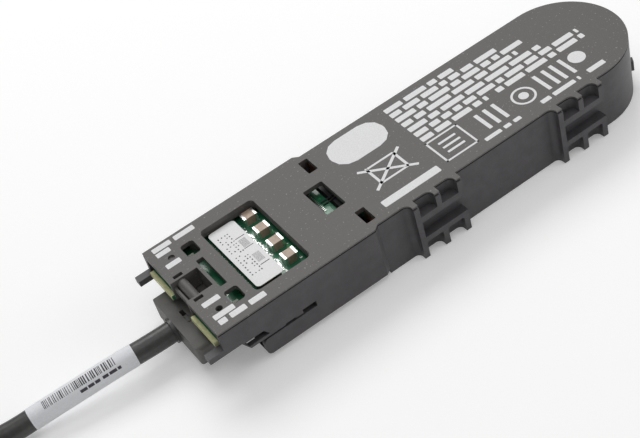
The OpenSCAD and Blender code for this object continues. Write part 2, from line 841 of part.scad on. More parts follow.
module socket_pins() {
    color(col_gold) socket_pin_rows();
}

// Pins that reach into the plug, bend up in the socket and end above the board
module socket_pin_rows() {
    h = pin_side / 2;
    for (y = pin_ys) {
        slab([plug_end + 1.2, y - h, row_z - h], [pin_rear + h, y + h, row_z + h]);
        slab([pin_rear - h, y - h, row_z - h], [pin_rear + h, y + h, z_board_top + 0.6]);
    }
}

// The moulded plug: a head with a round-cornered outline, and the nose with its contact holes
module plug_shell() {
    color(col_black) difference() {
        union() {
            intersection() {
                translate([plug_x, 0, 0]) rotate([90, 0, 90]) linear_extrude(plug_len) plug_outline();
                linear_extrude(z_top) plug_plan();
            }
            slab([plug_end - eps, -nose_w / 2, nose_z], [nose_end, nose_w / 2, nose_z + nose_h]);
        }
        contact_blocks();
        translate([plug_x - 1, cable_y, cable_z]) rotate([0, 90, 0])
            cylinder(d = bundle_d, h = bundle_len + 1);
        slab([x0 - 1.3, 0.5, plug_top - 2.5], [x0 - 0.1, 2.8, plug_top + 1]);
        key_groove();
    }
}

// The plug's head seen from the front, with Y across and Z up
module plug_outline() {
    round_rect([-plug_w / 2, plug_z], [plug_w / 2, plug_top], 1.2);
}

// The plug's head seen from above, with round front corners
module plug_plan() {
    round_rect([plug_x, -plug_w / 2], [plug_end + 3, plug_w / 2], plug_corner_r);
}

// A shallow U-shaped groove beside the small hole on top of the plug
module key_groove() {
    translate([x0, 0, plug_top - key_d]) linear_extrude(1) difference() {
        round_rect([-1.4, -2.5], [0, 0.4], 0.6);
        round_rect([-1.1, -2.2], [-0.3, 0.6], 0.3);
    }
}

module plug_contacts() {
    h = bore_side / 2;
    color(col_gold) difference() {
        contact_blocks();
        for (y = pin_ys) slab([plug_end + 1, y - h, row_z - h], [nose_end + 1, y + h, row_z + h]);
    }
}

// The outer shape of the contacts in the plug's nose
module contact_blocks() {
    h = contact_side / 2;
    for (y = pin_ys) slab([plug_end - 3, y - h, row_z - h], [nose_end, y + h, row_z + h]);
}

// ---- Cells and their metal ----

module contact_plate_positive() {
    contact_plate(1);
}

module contact_plate_negative() {
    contact_plate(-1);
}

// A copper plate behind the bulkhead, with a lug that lies on the board's end
module contact_plate(s) {
    y = s * plate_y;
    color(col_copper) {
        slab([plate_x, y - plate_w / 2, cell_z], [plate_x + plate_t, y + plate_w / 2, z_under - 0.3]);
        slab([board_end - 2, y - lug_w / 2, z_board_top], [plate_x + eps, y + lug_w / 2, z_board_top + plate_t]);
    }
}

module cell_1() {
    cell(0);
}

module cell_2() {
    cell(1);
}

module cell_3() {
    cell(2);
}

module cell_4() {
    cell(3);
}

// Places its child at a cell, with +Z towards the cell's positive end
module at_cell(i) {
    turn = i % 2 == 0 ? -90 : 90;
    translate([cell_x[i], 0, cell_z]) rotate([turn, 0, 0]) children();
}

// A steel can with a rolled groove below its positive cap
module cell(i) {
    can_end = cell_y - cap_rise;
    color(col_metal) at_cell(i) difference() {
        union() {
            translate([0, 0, -cell_y]) cylinder(r = can_r, h = can_end + cell_y, $fn = 72);
            cylinder(r = cap_r, h = cell_y);
        }
        translate([0, 0, can_end - 0.5]) difference() {
            cylinder(r = washer_r - 0.6, h = 1);
            translate([0, 0, -1]) cylinder(r = cap_r + 1, h = 3);
        }
    }
}

// The shrunk plastic sleeves around the cans
module cell_sleeves() {
    color("#2f6f58") for (i = [0:3]) at_cell(i) translate([0, 0, -cell_y]) difference() {
        cylinder(r = cell_r, h = cell_len - cap_rise, $fn = 72);
        translate([0, 0, -1]) cylinder(r = can_r, h = cell_len + 1, $fn = 72);
    }
}

// Insulating rings around the positive caps
module cell_washers() {
    color(col_white) for (i = [0:3]) at_cell(i) translate([0, 0, cell_y - cap_rise]) difference() {
        cylinder(r = washer_r, h = washer_t);
        translate([0, 0, -1]) cylinder(r = cap_r + 0.3, h = 3);
    }
}

// Nickel links that join the cells in a row
module cell_links() {
    color(col_metal) for (i = [0:2]) {
        s = i % 2 == 0 ? 1 : -1;
        y = s > 0 ? cell_y : -cell_y - strap_t;
        slab([cell_x[i] - strap_w / 2, y, cell_z - strap_w / 2],
            [cell_x[i + 1] + strap_w / 2, y + strap_t, cell_z + strap_w / 2]);
    }
}

// From the negative plate to the first cell
module end_strap() {
    color(col_metal) slab([plate_x + plate_t, -cell_y - strap_t, strap_z],
        [cell_x[0] + strap_w / 2, -cell_y, strap_z + strap_h]);
}

// From the last cell, round the corner, to the fuse
module fuse_strap() {
    color(col_metal) {
        slab([cell_x[3] - strap_w / 2, -cell_y - strap_t, strap_z], [fuse_x + eps, -cell_y, strap_z + strap_h]);
        slab([fuse_x, -cell_y - strap_t, strap_z], [fuse_x + strap_t, 2 - fuse_w / 2, strap_z + strap_h]);
    }
}

// From the fuse along the far wall to the positive plate
module return_strap() {
    color(col_metal) {
        slab([plate_x + plate_t, return_y - strap_t, strap_z], [fuse_x + eps, return_y, strap_z + strap_h]);
        slab([fuse_x + 2 * strap_t + fuse_t, fuse_w / 2 - 2, strap_z],
            [fuse_end, return_y, strap_z + strap_h]);
        slab([fuse_x, return_y - strap_t, strap_z],
            [fuse_end, return_y, strap_z + strap_h]);
    }
}

// A flat resettable fuse that stands between the two straps
module resettable_fuse() {
    color(col_gold) slab([fuse_x + strap_t, -fuse_w / 2, strap_z - 2.5],
        [fuse_x + 2 * strap_t + fuse_t, fuse_w / 2, strap_z - 2.5 + fuse_h]);
}

// A bead against the first cell, with two leads to the board
module thermistor() {
    color(col_black) translate([bead_x, bead_y, bead_z]) sphere(bead_r);
    color(col_metal) for (s = sides)
        translate([board_end - 2, bead_y + s * 0.6, bead_z]) rotate([0, 90, 0])
            cylinder(d = 0.4, h = bead_x - board_end + 2, $fn = 24);
}

// Foam between the cells and the cover
module foam_pad() {
    color(col_black) slab([cell_x[0] - foam_over, -foam_w / 2, cell_z + cell_r],
        [cell_x[3] + foam_over, foam_w / 2, z_under - foam_gap]);
}

// Foam that fills the round tail
module tail_foam() {
    color(col_black) slab([tail_foam_x, -foam_w / 2, floor_t],
        [tail_foam_end, foam_w / 2, z_under - foam_gap]);
}

// ---- Cable ----

// The bare conductors, moulded into the plug
module conductor_bundle() {
    color(col_copper) translate([plug_x, cable_y, cable_z]) rotate([0, 90, 0])
        cylinder(d = bundle_d, h = bundle_len);
}

// The collar around the cable, against the plug
module cable_collar() {
    color(col_black) translate([plug_x - collar_len, cable_y, cable_z]) rotate([0, 90, 0]) difference() {
        cylinder(d = cable_d + 2 * collar_t, h = collar_len);
        translate([0, 0, -1]) cylinder(d = cable_d, h = collar_len + 2);
    }
}

module cable_lead() {
    color(col_black) at_cable_start() sweep(lead_route);
}

// The coil of spare cable: two turns on each other, with a straight start and end
module cable_coil() {
    color(col_black) at_cable_start() translate([coil_x, coil_y, tie_t]) {
        rotate_extrude($fn = 96) translate([coil_r, 0]) coil_section();
        translate([0, coil_r, cable_d / 2]) rotate([0, 90, 0]) cylinder(d = cable_d, h = coil_stub);
        translate([0, coil_r, coil_h - cable_d / 2]) rotate([0, -90, 0]) cylinder(d = cable_d, h = coil_stub);
    }
}

// The outer shape of the turns, cut across: one circle on another
module coil_section() {
    r = cable_d / 2;
    translate([0, r]) circle(r);
    translate([0, coil_h - r]) circle(r);
    translate([-r, r]) square([cable_d, coil_h - cable_d]);
}

module cable_tail() {
    color(col_black) at_cable_start() sweep(tail_route);
}

// Ties around the turns
module coil_ties() {
    r = cable_d / 2;
    color(col_black) at_cable_start() for (a = tie_angles) translate([coil_x, coil_y, 0]) rotate(a) difference() {
        slab([coil_r - r - tie_t, -tie_w / 2, 0], [coil_r + r + tie_t, tie_w / 2, coil_h + 2 * tie_t]);
        translate([0, 0, tie_t]) rotate_extrude($fn = 96) translate([coil_r - r, 0]) square([cable_d, coil_h]);
    }
}

// The small plug on the far end of the cable
module end_plug_body() {
    color(col_black) at_cable_end() difference() {
        rotate([90, 0, 0]) linear_extrude(end_len) round_rect([-end_w / 2, -end_h / 2], [end_w / 2, end_h / 2], 0.8);
        end_contact_blocks();
    }
}

module end_plug_contacts() {
    color(col_gold) at_cable_end() end_contact_blocks();
}

// Contacts on the face of the end plug, in two rows
module end_contact_blocks() {
    for (i = [-3:3], s = sides) translate([i * contact_pitch, -end_len, s * contact_pitch])
        translate([-0.3, 0, -0.3]) cube([0.6, 4, 0.6]);
}

// Places its child where the cable leaves the plug
module at_cable_start() {
    translate([plug_x, cable_y, 0]) children();
}

// Places its child at the end of the cable, with -Y away from it
module at_cable_end() {
    at_cable_start() translate(tail_route[len(tail_route) - 1]) children();
}

// ---- Swept tube ----

function unit(v) = v / norm(v);

// The direction at one of the points, from its neighbours
function heading(points, i) =
    unit(points[min(i + 1, len(points) - 1)] - points[max(i - 1, 0)]);

// One ring of the tube, square to the direction
function ring(points, i) =
    let (along = heading(points, i), side = unit(cross([0, 0, 1], along)), up = cross(along, side))
    [for (k = [0:cable_sides - 1]) points[i]
        + cable_d / 2 * (side * cos(k * 360 / cable_sides) + up * sin(k * 360 / cable_sides))];

// A round tube along a list of points, closed at both ends
module sweep(points) {
    n = cable_sides;
    last = len(points) - 1;
    rings = [for (i = [0:last]) each ring(points, i)];
    sides_faces = [for (i = [0:last - 1], k = [0:n - 1])
        [i * n + k, (i + 1) * n + k, (i + 1) * n + (k + 1) % n, i * n + (k + 1) % n]];
    start = [[for (k = [0:n - 1]) k]];
    end = [[for (k = [n - 1:-1:0]) last * n + k]];
    polyhedron(rings, concat(sides_faces, start, end));
}
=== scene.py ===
"""The looks of the battery module: camera, cable, light, materials, print and small board parts.

Every length is in metres in the part's own frame, and places are worked out from the CAD's boxes.
"""
import json
import math
import random

import bpy
from mathutils import Matrix, Vector


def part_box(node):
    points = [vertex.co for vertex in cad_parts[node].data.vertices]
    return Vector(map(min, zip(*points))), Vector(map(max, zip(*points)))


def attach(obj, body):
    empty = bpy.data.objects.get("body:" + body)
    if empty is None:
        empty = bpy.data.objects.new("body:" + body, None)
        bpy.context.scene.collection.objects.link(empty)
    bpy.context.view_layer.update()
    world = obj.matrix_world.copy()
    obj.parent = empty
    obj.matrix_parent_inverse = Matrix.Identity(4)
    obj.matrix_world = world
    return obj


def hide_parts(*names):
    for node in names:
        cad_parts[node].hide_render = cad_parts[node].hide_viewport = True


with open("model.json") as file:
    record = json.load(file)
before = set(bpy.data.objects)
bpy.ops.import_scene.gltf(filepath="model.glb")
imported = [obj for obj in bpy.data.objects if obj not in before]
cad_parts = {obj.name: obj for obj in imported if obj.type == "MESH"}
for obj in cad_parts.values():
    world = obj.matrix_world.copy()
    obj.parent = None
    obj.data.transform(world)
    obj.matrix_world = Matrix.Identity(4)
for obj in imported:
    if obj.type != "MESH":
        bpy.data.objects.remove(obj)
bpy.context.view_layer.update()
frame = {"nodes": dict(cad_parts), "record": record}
MM = 0.001

# Places that the CAD gives
COVER_LOW, COVER_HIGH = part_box("top_cover")
FRONT = COVER_LOW.x
TOP = COVER_HIGH.z
BOARD_LOW, BOARD_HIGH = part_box("circuit_board")
BOARD_TOP = BOARD_HIGH.z
PLUG_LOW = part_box("plug_shell")[0]

# ---- Camera ----

CAMERA_PLACE = (-0.1560, -0.26486, 0.28341)
CAMERA_RIGHT = Vector((0.80440, -0.55003, -0.22452))
CAMERA_LOOK = Vector((0.26911, 0.67427, -0.68770))
CAMERA_LENS = 81.06


def make_camera():
    data = bpy.data.cameras.new("camera")
    data.lens = CAMERA_LENS
    data.sensor_width = 36
    data.clip_start = 0.01
    camera = bpy.data.objects.new("camera", data)
    look = CAMERA_LOOK.normalized()
    right = (CAMERA_RIGHT - look * CAMERA_RIGHT.dot(look)).normalized()
    up = right.cross(look)
    turn = Matrix((right, up, -look)).transposed().to_4x4()
    camera.matrix_world = Matrix.Translation(CAMERA_PLACE) @ turn
    bpy.context.collection.objects.link(camera)
    bpy.context.scene.camera = camera


# ---- Material helpers ----


class Look:
    """A new material, and short ways to add nodes to it."""

    def __init__(self, name, colour, roughness, metallic=0.0):
        self.material = bpy.data.materials.new(name)
        self.material.use_nodes = True
        self.nodes = self.material.node_tree.nodes
        self.links = self.material.node_tree.links
        self.shader = self.nodes["Principled BSDF"]
        self.colour = colour
        self.set("Base Color", (*colour, 1))
        self.set("Roughness", roughness)
        self.set("Metallic", metallic)
        self.place = self.nodes.new("ShaderNodeTexCoord").outputs["Object"]

    def set(self, socket, value):
        self.shader.inputs[socket].default_value = value

    def noise(self, scale, detail=2.0, roughness=0.5, stretch=None):
        node = self.nodes.new("ShaderNodeTexNoise")
        node.inputs["Scale"].default_value = scale
        node.inputs["Detail"].default_value = detail
        node.inputs["Roughness"].default_value = roughness
        source = self.place
        if stretch:
            mapping = self.nodes.new("ShaderNodeMapping")
            mapping.inputs["Scale"].default_value = stretch
            self.links.new(self.place, mapping.inputs["Vector"])
            source = mapping.outputs["Vector"]
        self.links.new(source, node.inputs["Vector"])
        return node.outputs["Fac"]

    def ramp(self, fac, stops):
        """Colours or grey levels along fac; stops are (place, value) pairs."""
        node = self.nodes.new("ShaderNodeValToRGB")
        elements = node.color_ramp.elements
        while len(elements) < len(stops):
            elements.new(0.5)
        for element, (place, value) in zip(elements, stops):
            element.position = place
            colour = value if isinstance(value, tuple) else (value, value, value)
            element.color = (*colour, 1)
        self.links.new(fac, node.inputs["Fac"])
        return node.outputs["Color"]

    def mottle(self, fac, amount):
        """Lets the base colour swing by amount around itself."""
        low = tuple(c * (1 - amount) for c in self.colour)
        high = tuple(min(1, c * (1 + amount)) for c in self.colour)
        self.links.new(self.ramp(fac, [(0.3, low), (0.7, high)]), self.shader.inputs["Base Color"])

    def roughen(self, fac, low, high):
        self.links.new(self.ramp(fac, [(0.3, low), (0.7, high)]), self.shader.inputs["Roughness"])

    def bump(self, fac, height, strength=1.0):
        node = self.nodes.new("ShaderNodeBump")
        node.inputs["Distance"].default_value = height
        node.inputs["Strength"].default_value = strength
        self.links.new(fac, node.inputs["Height"])
        self.links.new(node.outputs["Normal"], self.shader.inputs["Normal"])


def plastic(name, colour, roughness, grain, height, mottle=0.12):
    """Moulded plastic with an even grain."""
    look = Look(name, colour, roughness)
    look.set("Specular IOR Level", 0.4)
    look.mottle(look.noise(260, 3), mottle)
    look.bump(look.noise(grain, 3, 0.6), height)
    return look


def metal(name, colour, roughness, streak=None):
    look = Look(name, colour, roughness, 1.0)
    fac = look.noise(900, 3, 0.6, streak)
    look.mottle(fac, 0.12)
    look.roughen(look.noise(500, 2), roughness * 0.8, min(1, roughness * 1.3))
    look.bump(fac, 0.00002)
    return look


COVER_GREY = (0.118, 0.113, 0.108)
SPECK_GREY = (0.26, 0.25, 0.24)


def cover_material():
    look = plastic("cover_plastic", COVER_GREY, 0.5, 3200, 0.00006)
    stops = [(0.0, COVER_GREY), (0.68, COVER_GREY), (0.74, SPECK_GREY)]
    specks = look.ramp(look.noise(1500, 1, 0.5), stops)
    look.links.new(specks, look.shader.inputs["Base Color"])
    return look.material


def housing_material():
    # Painted shade: the housing gets a darker, purplish grey than the cover, which puts the half-shadow
    # on its side walls into the plastic's colour.
    return plastic("housing_plastic", (0.082, 0.078, 0.083), 0.46, 2600, 0.00003).material


def plug_material():
    return plastic("plug_plastic", (0.105, 0.102, 0.095), 0.5, 1800, 0.00004).material


def board_material():
    look = Look("board_laminate", (0.03, 0.19, 0.095), 0.28)
    look.set("Coat Weight", 0.4)
    look.mottle(look.noise(180, 2), 0.22)
    look.bump(look.noise(700, 2), 0.00002)
    return look.material


def laminate_edge_material():
    look = Look("laminate_edge", (0.66, 0.67, 0.36), 0.5)
    look.mottle(look.noise(900, 2, 0.5, (1, 1, 6)), 0.12)
    return look.material


def paper_material(name="label_paper", colour=(0.86, 0.86, 0.86)):
    look = Look(name, colour, 0.55)
    look.mottle(look.noise(2200, 3), 0.04)
    look.bump(look.noise(1200, 3), 0.00002)
    return look.material


def ink_material(name, colour):
    look = Look(name, colour, 0.6)
    look.mottle(look.noise(2600, 2), 0.06)
    return look.material


def ceramic_material():
    look = Look("capacitor_ceramic", (0.44, 0.33, 0.24), 0.35)
    look.mottle(look.noise(900, 2), 0.15)
    return look.material


def ferrite_material():
    look = Look("ferrite", (0.07, 0.068, 0.066), 0.6)
    look.mottle(look.noise(1500, 3), 0.25)
    look.bump(look.noise(2500, 3), 0.00004)
    return look.material


def copper_material():
    return metal("copper", (0.78, 0.40, 0.24), 0.3, (1, 1, 5)).material


def chip_material():
    look = Look("chip_epoxy", (0.03, 0.03, 0.032), 0.45)
    look.mottle(look.noise(1500, 2), 0.2)
    look.bump(look.noise(3000, 2), 0.00002)
    return look.material


def lamp_material():
    look = Look("lamp_plastic", (0.72, 0.74, 0.66), 0.25)
    look.mottle(look.noise(1500, 2), 0.08)
    return look.material


def film_material(name, colour):
    look = Look(name, colour, 0.3)
    look.mottle(look.noise(300, 2), 0.1)
    look.bump(look.noise(90, 2), 0.00004)
    return look.material


def foam_material():
    look = Look("foam", (0.03, 0.03, 0.032), 0.95)
    look.mottle(look.noise(1400, 4), 0.4)
    look.bump(look.noise(1400, 4), 0.0003)
    return look.material


def jacket_material():
    look = Look("cable_jacket", (0.052, 0.052, 0.05), 0.38)
    look.mottle(look.noise(700, 3), 0.15)
    look.roughen(look.noise(250, 2), 0.32, 0.45)
    look.bump(look.noise(900, 2), 0.00003)
    return look.material


MATERIALS = {
    "housing_plastic": housing_material,
    "cover_plastic": cover_material,
    "board_laminate": board_material,
    "ferrite": ferrite_material,
    "copper": copper_material,
    "chip_epoxy": chip_material,
    "label_paper": paper_material,
    "capacitor_ceramic": ceramic_material,
    "tinned_metal": lambda: metal("tinned_metal", (0.78, 0.77, 0.74), 0.32).material,
    "lamp_plastic": lamp_material,
    "plug_plastic": plug_material,
    "gilt_pins": lambda: metal("gilt_pins", (0.86, 0.66, 0.3), 0.25).material,
    "cell_steel": lambda: metal("cell_steel", (0.66, 0.66, 0.64), 0.3, (8, 1, 1)).material,
    "sleeve_film": lambda: film_material("sleeve_film", (0.1, 0.3, 0.22)),
    "nickel": lambda: metal("nickel", (0.68, 0.66, 0.6), 0.3, (1, 8, 1)).material,
    "fuse_body": lambda: film_material("fuse_body", (0.7, 0.5, 0.1)),
    "foam": foam_material,
    "cable_jacket": jacket_material,
    "tie_plastic": lambda: plastic("tie_plastic", (0.02, 0.02, 0.02), 0.45, 900, 0.00003).material,
}


def dress_nodes(made):
    """Puts the slot's material on each CAD node that stays shown."""
    for part in frame["record"]["subparts"]:
        node = frame["nodes"][part["node"]]
        node.data.materials.clear()
        node.data.materials.append(made[part["material_slot"]])


# ---- Mesh helpers ----


def mesh_piece(name, vertices, faces, material):
    mesh = bpy.data.meshes.new(name)
    mesh.from_pydata(vertices, [], faces)
    mesh.update()
    mesh.materials.append(material)
    piece = bpy.data.objects.new(name, mesh)
    bpy.context.collection.objects.link(piece)
    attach(piece, "root")
    return piece


class Shapes:
    """Collects prisms and boxes, to make one mesh of them."""

    def __init__(self):
        self.vertices = []
        self.faces = []

    def prism(self, outline, low, high):
        """A flat outline, counter-clockwise seen from above, between two heights."""
        n, first = len(outline), len(self.vertices)
        self.vertices += [(x, y, low) for x, y in outline] + [(x, y, high) for x, y in outline]
        self.faces.append([first + i for i in reversed(range(n))])
        self.faces.append([first + n + i for i in range(n)])
        for i in range(n):
            j = (i + 1) % n
            self.faces.append([first + i, first + j, first + n + j, first + n + i])

    def block(self, low, high):
        outline = [(low[0], low[1]), (high[0], low[1]), (high[0], high[1]), (low[0], high[1])]
        self.prism(outline, low[2], high[2])

    def ring(self, x, y, outer, inner, low, high, steps=40):
        """A flat ring, as a closed band of blocks."""
        first = len(self.vertices)
        for i in range(steps):
            a = 2 * math.pi * i / steps
            for r, z in ((outer, low), (outer, high), (inner, high), (inner, low)):
                self.vertices.append((x + r * math.cos(a), y + r * math.sin(a), z))
        for i in range(steps):
            a, b = first + 4 * i, first + 4 * ((i + 1) % steps)
            for k in range(4):
                m = (k + 1) % 4
                self.faces.append([a + k, b + k, b + m, a + m])

    def piece(self, name, material, slot=None):
        return mesh_piece(name, self.vertices, self.faces, material)


def circle(x, y, r, steps=32):
    return [(x + r * math.cos(2 * math.pi * i / steps), y + r * math.sin(2 * math.pi * i / steps))
            for i in range(steps)]


def rounded(x1, y1, x2, y2, r, steps=6):
    """A rectangle with round corners, counter-clockwise."""
    corners = [(x2 - r, y2 - r, 0), (x1 + r, y2 - r, 90), (x1 + r, y1 + r, 180),
               (x2 - r, y1 + r, 270)]
    points = []
    for x, y, start in corners:
        for i in range(steps + 1):
            a = math.radians(start + 90 * i / steps)
            points.append((x + r * math.cos(a), y + r * math.sin(a)))
    return points


# ---- Cable ----
# Its places are millimetres from where it leaves the plug, as in the part's source.

CABLE_D = 6.2 * MM
EXIT = Vector((PLUG_LOW.x, 1.4 * MM, 0))
LEAD_ROUTE = [(0, 0, 7.1), (-4, 0, 7.1), (-9, 0.2, 7.1), (-15, 0.7, 7), (-22, 1.4, 6.6),
              (-31, 2.3, 5.9), (-40, 3.4, 5), (-48, 4.3, 4.2), (-52.2, 5.1, 3.9),
              (-56.3, 6.5, 3.7), (-60.2, 8.3, 3.6), (-64.1, 10.2, 3.6), (-68, 11.4, 3.6),
              (-71.4, 12.1, 3.6), (-76, 12.3, 3.6), (-86, 12.3, 3.6)]
TAIL_ROUTE = [(-107, 12.3, 9.8), (-117, 12.3, 9.8), (-120, 12.3, 9.8), (-125.7, 11.5, 9.5),
              (-131, 9.3, 8.6), (-135.6, 5.9, 7.4), (-139, 1.3, 6), (-141.2, -4, 4.8),
              (-142, -9.7, 4), (-142, -15.7, 3.6), (-142, -22.2, 3.6)]
COIL_MIDDLE = (-96.5, -19.7)
COIL_RADIUS = 32
COIL_LOW = 3.6
LAYER_STEP = 6.2
COIL_TURNS = 2
COIL_STEPS = 24
STEP_UP = (298, 340)


def smooth(t):
    t = min(1, max(0, t))
    return t * t * (3 - 2 * t)


def coil_points():
    """The turns lie on each other; each one climbs over the start of the one below."""
    points = []
    for i in range(COIL_TURNS * COIL_STEPS + 1):
        turned = 360 * i / COIL_STEPS
        whole, part = divmod(turned, 360)
        layer = whole + smooth((part - STEP_UP[0]) / (STEP_UP[1] - STEP_UP[0]))
        a = math.radians(90 + turned)
        points.append((COIL_MIDDLE[0] + COIL_RADIUS * math.cos(a),
                       COIL_MIDDLE[1] + COIL_RADIUS * math.sin(a),
                       COIL_LOW + LAYER_STEP * layer))
    return points


def cable_route():
    return [EXIT + Vector(p) * MM for p in LEAD_ROUTE + coil_points() + TAIL_ROUTE]


def make_cable(material):
    route = cable_route()
    data = bpy.data.curves.new("cable", "CURVE")
    data.dimensions = "3D"
    data.resolution_u = 6
    data.bevel_depth = CABLE_D / 2
    data.bevel_resolution = 6
    data.use_fill_caps = True
    spline = data.splines.new("BEZIER")
    spline.bezier_points.add(len(route) - 1)
    for point, place in zip(spline.bezier_points, route):
        point.co = place
        point.handle_left_type = point.handle_right_type = "AUTO"
    data.materials.append(material)
    cable = bpy.data.objects.new("cable", data)
    bpy.context.collection.objects.link(cable)
    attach(cable, "root")
    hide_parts("cable_lead", "cable_coil", "cable_tail")
    return cable


def tube_along(points, radius, sides, name, material):
    """A closed sleeve along points, from the cable's skin out to the radius."""
    vertices, faces = [], []
    last = len(points) - 1
    for i, p in enumerate(points):
        along = (points[min(i + 1, last)] - points[max(i - 1, 0)]).normalized()
        side = Vector((0, 0, 1)).cross(along).normalized()
        up = along.cross(side)
        for r in (radius, CABLE_D / 2 - 0.02 * MM):
            for k in range(sides):
                a = 2 * math.pi * k / sides
                vertices.append(p + (side * math.cos(a) + up * math.sin(a)) * r)
    ring = 2 * sides
    for i in range(last):
        for k in range(sides):
            m = (k + 1) % sides
            a, b = i * ring, (i + 1) * ring
            faces.append([a + k, a + m, b + m, b + k][::-1])
            faces.append([a + sides + k, b + sides + k, b + sides + m, a + sides + m][::-1])
    for base, flip in ((0, False), (last * ring, True)):
        for k in range(sides):
            m = (k + 1) % sides
            face = [base + k, base + m, base + sides + m, base + sides + k]
            faces.append(face[::-1] if flip else face)
    return mesh_piece(name, vertices, faces, material)


# ---- Wrapped label on the cable ----

WRAP = (12.6, 43.5)
WRAP_RADIUS = CABLE_D / 2 + 0.12 * MM


def along_lead(distance):
    """Where the cable's middle is at a distance along X in front of the plug, and its direction."""
    points = [EXIT + Vector(p) * MM for p in LEAD_ROUTE]
    x = EXIT.x - distance * MM
    for i in range(len(points) - 1):
        a, b = points[i], points[i + 1]
        if b.x <= x <= a.x:
            t = (x - a.x) / (b.x - a.x)
            before = points[max(i - 1, 0)]
            after = points[min(i + 2, len(points) - 1)]
            place = 0.5 * (2 * a + (b - before) * t + (2 * before - 5 * a + 4 * b - after) * t * t
                           + (3 * a - before - 3 * b + after) * t ** 3)
            return place, (b - a).normalized()
    return points[0], Vector((-1, 0, 0))


def on_wrap(distance, angle, lift=0.03 * MM):
    """A point on the wrap. The angle is 0 at the +Y side and 90 at the top."""
    place, along = along_lead(distance)
    side = along.cross(Vector((0, 0, 1))).normalized()
    up = side.cross(along)
    a = math.radians(angle)
    return place + (side * math.cos(a) + up * math.sin(a)) * (WRAP_RADIUS + lift)


def wrap_mark(vertices, faces, start, end, low, high, steps=4):
    """One inked bar on the wrap, bent around the cable."""
    first = len(vertices)
    for i in range(steps + 1):
        angle = low + (high - low) * i / steps
        vertices += [on_wrap(start, angle), on_wrap(end, angle)]
    for i in range(steps):
        a = first + 2 * i
        faces.append([a, a + 1, a + 3, a + 2])


def make_wrap(paper, ink):
    points = [along_lead(WRAP[0] + (WRAP[1] - WRAP[0]) * i / 30)[0] for i in range(31)]
    tube_along(points, WRAP_RADIUS, 32, "cable_wrap", paper)
    draw = random.Random(11)
    vertices, faces = [], []
    d = WRAP[0] + 5.6
    while d < WRAP[0] + 26.5:
        width = draw.choice((0.16, 0.22, 0.36))
        wrap_mark(vertices, faces, d, d + width, 82, 128)
        d += width + draw.choice((0.2, 0.28, 0.45))
    d = WRAP[0] + 4.6
    while d < WRAP[0] + 17:
        length = draw.uniform(1.0, 2.2)
        wrap_mark(vertices, faces, d, d + length, 142, 157)
        d += length + draw.choice((0.35, 0.45, 0.9))
    mesh_piece("wrap_marks", vertices, faces, ink)


# ---- Print on the cover ----

PRINT_T = 0.03 * MM


def cover_place(x, y):
    """From millimetres behind the cover's front edge and off its middle."""
    return FRONT + x * MM, y * MM


def print_bar(shapes, x1, y1, x2, y2, r=0.2):
    (x1, y1), (x2, y2) = cover_place(x1, y1), cover_place(x2, y2)
    r = min(r * MM, 0.45 * (x2 - x1), 0.45 * (y2 - y1))
    shapes.prism(rounded(x1, y1, x2, y2, r, 3), TOP - PRINT_T, TOP + PRINT_T)


def print_line(shapes, draw, x1, x2, low, high):
    """A line of print as short bars of uneven length."""
    x = x1
    while x < x2 - 0.8:
        end = min(x + draw.uniform(2.2, 8), x2)
        print_bar(shapes, x, low, end, high, 0.3)
        x = end + 1.1


# Short words beside the lamp windows: x from and to, y from and to
FRONT_WORDS = [(2.5, 16.5, 17.4, 19.3), (2.5, 6.8, 15.1, 16.9), (2.5, 7.0, 9.4, 11.3),
               (2.5, 7.7, -10.0, -8.1), (2.5, 8.8, -15.8, -13.9), (2.7, 17.1, -18.2, -16.2)]
# Lines of print over the cells
LONG_LINES = [(79.5, 104.5, 14.2, 16.2), (79.5, 118.5, 11.4, 13.4), (79.5, 125.0, 8.6, 10.6),
              (79.5, 121.0, 5.7, 7.7), (79.5, 127.0, 2.7, 4.7), (79.5, 138.7, -0.2, 1.8),
              (79.5, 103.0, -3.1, -1.1), (106.3, 138.5, -3.1, -1.1)]
# Small captions under the symbols
CAPTIONS = [(91.5, 105.5, -16.2, -14.8), (111.5, 125.5, -16.2, -14.6), (128.5, 134.5, -16.2, -14.4)]
# A plain frame with three bars in it, then upright bars: x and y of two corners
FRAME_BARS = [(78.9, -14.5, 90, -13.9), (78.9, -4.6, 90, -4), (78.9, -14.5, 79.5, -4),
              (89.4, -14.5, 90, -4), (81.5, -11.8, 87.4, -11), (81.5, -9.6, 87.4, -8.8),
              (81.5, -7.4, 87.4, -6.6)]
UPRIGHT_BARS = [(95, -12.9, 96.2, -5.4), (98, -12.9, 99.2, -5.4), (101, -12.9, 102.2, -5.4),
                (116.2, -13, 117.4, -5.2), (119.4, -13, 120.6, -5.2), (122.2, -13, 123.4, -5.2),
                (125.4, -13, 126.6, -5.2)]


